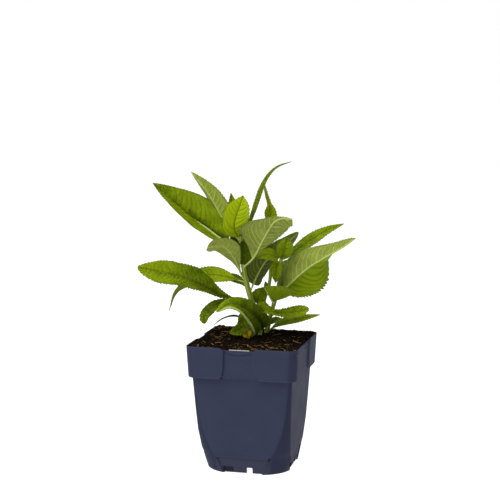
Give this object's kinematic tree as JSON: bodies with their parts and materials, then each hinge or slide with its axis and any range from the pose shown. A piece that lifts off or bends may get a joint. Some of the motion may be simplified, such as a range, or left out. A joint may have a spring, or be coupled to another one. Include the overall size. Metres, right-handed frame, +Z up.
{
  "type": "potted perennial plant",
  "caption": "Young leafy perennial with upright stems and lance-shaped toothed leaves, growing in a square plastic nursery pot with peat soil and a plain plant label.",
  "frame": {"origin": "middle of the pot's flat base pad, on the surface that the pot stands on", "axes": "+Z up along the stems; -Y is out of the pot's front side, where the label stands; +X is to the right seen from the front"},
  "size_m": [0.2092, 0.1253, 0.304],
  "materials": {
    "pot_plastic": "semi-matte dark slate-blue polypropylene",
    "label_plastic": "plain white plastic card",
    "peat_soil": "dark brown crumbly peat with pale fibres",
    "leaf_green": "fresh yellow-green leaves with sunken veins, paler undersides, and pale green stems",
    "old_leaf_yellow": "soft yellow fading leaf"
  },
  "bodies": {
    "root": {"pot": "pot_plastic", "label": "label_plastic", "soil": "peat_soil", "leafy_stem_tall": "leaf_green", "leafy_stem_right": "leaf_green", "leafy_stem_back": "leaf_green", "leafy_stem_front": "leaf_green", "yellow_leaf": "old_leaf_yellow"}
  },
  "joints": []
}
